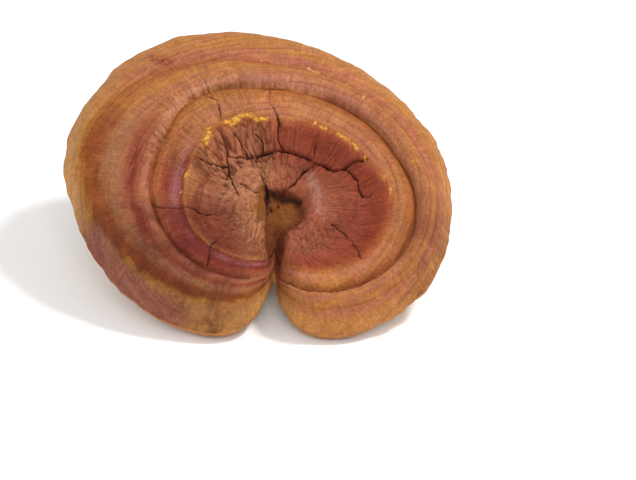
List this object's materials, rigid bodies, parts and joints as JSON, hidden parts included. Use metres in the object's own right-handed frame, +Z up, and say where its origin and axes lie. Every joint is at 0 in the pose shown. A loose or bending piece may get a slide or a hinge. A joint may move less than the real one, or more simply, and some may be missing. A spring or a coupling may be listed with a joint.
{
  "type": "reishi mushroom",
  "caption": "Whole dried reishi mushroom: a kidney-shaped cap with ringed, cracked crust and a hollow over the stem, leaning back on a short stem that is cut off flat.",
  "frame": {"origin": "middle of the stem's flat cut, which stands on the surface", "axes": "+Z up, square to the cut; +X to the right along the cap's width as seen from the lobes; +Y away from the lobes, towards the raised far rim"},
  "size_m": [0.1532, 0.1267, 0.079],
  "materials": {
    "crust": "satin",
    "stem_crust": "satin"
  },
  "bodies": {
    "root": {"cap": "crust", "stem": "stem_crust"}
  },
  "joints": []
}
